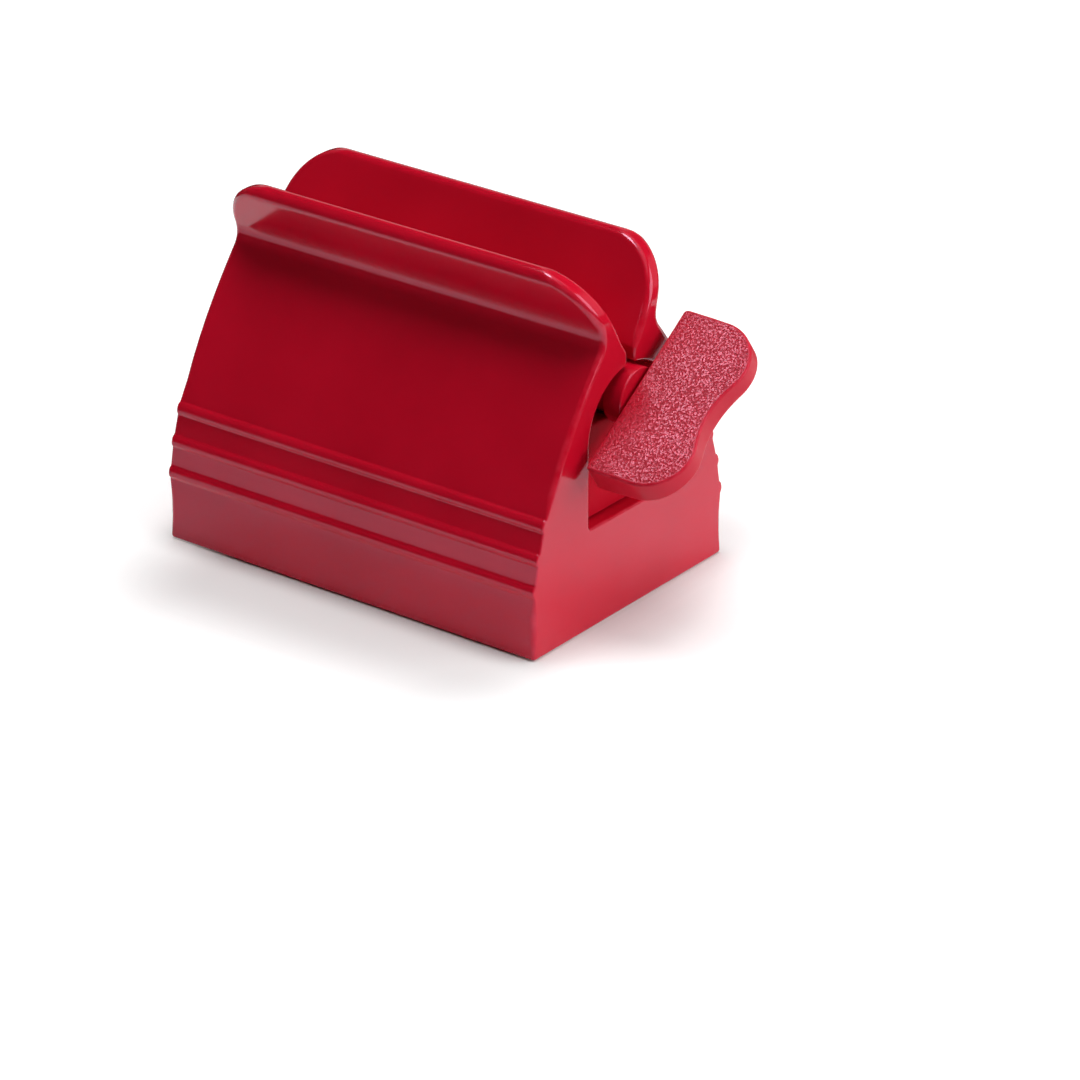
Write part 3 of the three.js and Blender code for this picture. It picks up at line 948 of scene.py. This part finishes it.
# Stage, in metres. A glow is the distance where it starts, the one where it is full, and its strength.
WHITE = (1.0, 1.0, 1.0, 1.0)
FLOOR_WHITE = (0.9, 0.9, 0.9, 1.0)
# The floor as camera and mirrors see it: a darker copy of the lit paint is painted shade, and the glows
# outside the painted shade box under the body are painted light that whitens the floor farther out.
FLOOR_SEEN_SHADED = (0.76, 0.76, 0.76, 1.0)
FLOOR_HALF = 6.0
FLOOR_DROP = 0.05 * MM
PAINTED_SHADE_LOW = (-0.025, -0.028)
PAINTED_SHADE_HIGH = (0.017, 0.022)
NEAR_GLOW = (0.002, 0.022, 0.45)
FAR_GLOW = (0.10, 0.40, 0.6)
AMBIENT = 0.06
WALL_GLOW = 0.03
WALL_REACH = 2.5
WALL_FOOT = math.radians(2)
WALL_TURNS = 32
WALL_RISES = 12
FENCE_REACH = 0.2
FENCE_FRONT = 0.10
FENCE_BACK = 0.06
FENCE_STEP = 0.02
FENCE_HEIGHT = 0.06
SCREEN_GLOW = 0.6
SCREEN_BACK = 0.6
SCREEN_HALF = 0.8
SCREEN_HEIGHT = 0.5


def vector_step(tree, operation, *values):
    node = add_node(tree, "ShaderNodeVectorMath", dict(enumerate(values)), operation=operation)
    return node.outputs["Value" if operation == "LENGTH" else "Vector"]


def added(tree, first, second, clamped=False):
    node = add_node(tree, "ShaderNodeMath", {0: first, 1: second}, operation="ADD", use_clamp=clamped)
    return node.outputs[0]


def choose_by_ray(tree, lighting, seen, output):
    """Ends a tree: rays from the camera, from a mirror or through glass meet one shader, and those that
    light the object meet the other."""
    path = add_node(tree, "ShaderNodeLightPath").outputs
    looks = added(tree, path["Is Camera Ray"], path["Is Glossy Ray"], True)
    looks = added(tree, looks, path["Is Transmission Ray"], True)
    chosen = add_node(tree, "ShaderNodeMixShader", {0: looks, 1: lighting.outputs[0], 2: seen.outputs[0]})
    add_node(tree, output, {"Surface": chosen.outputs[0]})


def floor_finish():
    """White paint that the lamps light and shade. Camera and mirror rays see a darker copy of it, painted
    shade that deepens the lamps' shadows, plus a glow that grows with the distance from a box under the
    body, painted light that whitens the floor farther out.
    """
    material, tree = new_material("white_floor")
    paint = add_node(tree, "ShaderNodeBsdfDiffuse", {"Color": FLOOR_WHITE})
    seen_shaded_paint = add_node(tree, "ShaderNodeBsdfDiffuse", {"Color": FLOOR_SEEN_SHADED})
    middle = [(low + high) / 2 for low, high in zip(PAINTED_SHADE_LOW, PAINTED_SHADE_HIGH)]
    half = [(high - low) / 2 for low, high in zip(PAINTED_SHADE_LOW, PAINTED_SHADE_HIGH)]
    offset = vector_step(tree, "SUBTRACT", object_place(tree), (*middle, 0.0))
    outside = vector_step(tree, "SUBTRACT", vector_step(tree, "ABSOLUTE", offset), (*half, 0.0))
    away = vector_step(tree, "LENGTH", vector_step(tree, "MAXIMUM", outside, (0.0, 0.0, 0.0)))
    rises = [remap(tree, away, (start, full), (0.0, strength), "SMOOTHSTEP")
             for start, full, strength in (NEAR_GLOW, FAR_GLOW)]
    # The glow is painted light, growing with the distance from the painted shade box; only camera and mirror
    # rays see it.
    glow = add_node(tree, "ShaderNodeEmission", {"Strength": added(tree, *rises)})
    seen_paint_with_painted_glow = add_node(tree, "ShaderNodeAddShader", {0: seen_shaded_paint.outputs[0], 1: glow.outputs[0]})
    choose_by_ray(tree, paint, seen_paint_with_painted_glow, "ShaderNodeOutputMaterial")
    return material


def glowing(name, strength):
    material, tree = new_material(name)
    glow = add_node(tree, "ShaderNodeEmission", {"Color": WHITE, "Strength": strength})
    add_node(tree, "ShaderNodeOutputMaterial", {"Surface": glow.outputs[0]})
    return material


def grid_object(name, rows, material):
    """A sheet over rows of points."""
    width = len(rows[0])
    faces = [(r * width + c, r * width + c + 1, (r + 1) * width + c + 1, (r + 1) * width + c)
             for r in range(len(rows) - 1) for c in range(width - 1)]
    mesh = bpy.data.meshes.new(name)
    mesh.from_pydata([spot for row in rows for spot in row], [], faces)
    mesh.materials.append(material)
    sheet = bpy.data.objects.new(name, mesh)
    bpy.context.scene.collection.objects.link(sheet)
    return sheet


def hide_from(thing, *rays):
    for ray in rays:
        setattr(thing, f"visible_{ray}", False)


floor_ends = (-FLOOR_HALF, FLOOR_HALF)
grid_object("floor", [[(x, y, -FLOOR_DROP) for x in floor_ends] for y in floor_ends], floor_finish())

world = bpy.data.worlds.new("studio")
bpy.context.scene.world = world
world.use_nodes = True
world.node_tree.nodes.clear()
dim, bright = (add_node(world.node_tree, "ShaderNodeBackground", {"Color": WHITE, "Strength": strength})
               for strength in (AMBIENT, 1.0))
choose_by_ray(world.node_tree, dim, bright, "ShaderNodeOutputWorld")


# Dark studio walls, a low dark fence and a bright screen behind the set, which only reflections see
def dome_rows():
    turns = [2 * math.pi * k / WALL_TURNS for k in range(WALL_TURNS + 1)]
    rises = [WALL_FOOT + (math.pi / 2 - WALL_FOOT) * k / WALL_RISES for k in range(WALL_RISES + 1)]
    return [[(WALL_REACH * math.cos(rise) * math.cos(turn), WALL_REACH * math.cos(rise) * math.sin(turn),
              WALL_REACH * math.sin(rise)) for turn in turns] for rise in rises]


fence_corners = [(-FENCE_REACH, -FENCE_FRONT), (FENCE_REACH, -FENCE_FRONT), (FENCE_REACH, FENCE_REACH),
                 (FENCE_STEP, FENCE_REACH), (FENCE_STEP, FENCE_BACK), (-FENCE_REACH, FENCE_BACK),
                 (-FENCE_REACH, -FENCE_FRONT)]
fence_rows = [[(x, y, z) for x, y in fence_corners] for z in (0.0, FENCE_HEIGHT)]
screen_rows = [[(x, SCREEN_BACK, z) for x in (-SCREEN_HALF, SCREEN_HALF)]
               for z in (FENCE_HEIGHT, SCREEN_HEIGHT)]
dark_walls = glowing("dark_walls", WALL_GLOW)
bright_screen = glowing("bright_screen", SCREEN_GLOW)
for sheet_name, sheet_rows, sheet_finish in (
        ("walls", dome_rows(), dark_walls), ("fence", fence_rows, dark_walls),
        ("screen", screen_rows, bright_screen)):
    sheet = grid_object(sheet_name, sheet_rows, sheet_finish)
    hide_from(sheet, "camera", "diffuse", "transmission", "shadow")


def softbox(name, place, aim, size, power, hidden_from=()):
    """A rectangular lamp that faces a place, and that some kinds of rays don't see."""
    lamp = bpy.data.lights.new(name, "AREA")
    lamp.shape = "RECTANGLE"
    lamp.size, lamp.size_y = size
    lamp.energy = power
    holder = bpy.data.objects.new(name, lamp)
    holder.location = place
    holder.rotation_euler = (Vector(aim) - Vector(place)).to_track_quat("-Z", "Y").to_euler()
    hide_from(holder, *hidden_from)
    bpy.context.scene.collection.objects.link(holder)


BODY_AIM = (0.0, 0.0, 0.025)
HANDLE_AIM = (0.033, -0.004, 0.032)
softbox("overhead", place=(0.0, 0.02, 0.65), aim=BODY_AIM, size=(0.32, 0.32), power=3.2,
        hidden_from=["glossy"])
softbox("panel", place=(0.0, 0.0, 0.65), aim=BODY_AIM, size=(0.7, 0.7), power=1.3,
        hidden_from=["diffuse"])
softbox("right", place=(0.60, 0.20, 0.30), aim=BODY_AIM, size=(0.6, 0.5), power=3.8)
softbox("fill", place=(-0.50, -0.45, 0.04), aim=BODY_AIM, size=(0.3, 0.1), power=0.35,
        hidden_from=["glossy"])
softbox("glint", place=(-0.018, -0.022, 0.160), aim=HANDLE_AIM, size=(0.045, 0.045), power=0.095,
        hidden_from=["camera", "diffuse"])

# Camera at the photograph's angle; the object stands up and to the left of the frame's middle
VIEW_AZIMUTH = math.radians(38.44)
VIEW_ELEVATION = math.radians(23.93)
VIEW_DISTANCE = 0.762
VIEW_LENS = 181.6
VIEW_TARGET_HEIGHT = 25.0 * MM
FRAME_RIGHT = 13.3 * MM
FRAME_DOWN = 22.0 * MM
target = Vector((BODY_MIDDLE * MM, 0.0, VIEW_TARGET_HEIGHT))
back = Vector((math.sin(VIEW_AZIMUTH) * math.cos(VIEW_ELEVATION),
               -math.cos(VIEW_AZIMUTH) * math.cos(VIEW_ELEVATION), math.sin(VIEW_ELEVATION)))
right = Vector((math.cos(VIEW_AZIMUTH), math.sin(VIEW_AZIMUTH), 0.0))
up = back.cross(right)
camera_data = bpy.data.cameras.new("camera")
camera_data.lens = VIEW_LENS
camera = bpy.data.objects.new("camera", camera_data)
camera.location = target + back * VIEW_DISTANCE
look_at = target + right * FRAME_RIGHT - up * FRAME_DOWN
camera.rotation_euler = (look_at - camera.location).to_track_quat("-Z", "Y").to_euler()
bpy.context.scene.collection.objects.link(camera)
bpy.context.scene.camera = camera

bpy.context.scene.view_settings.view_transform = "Standard"
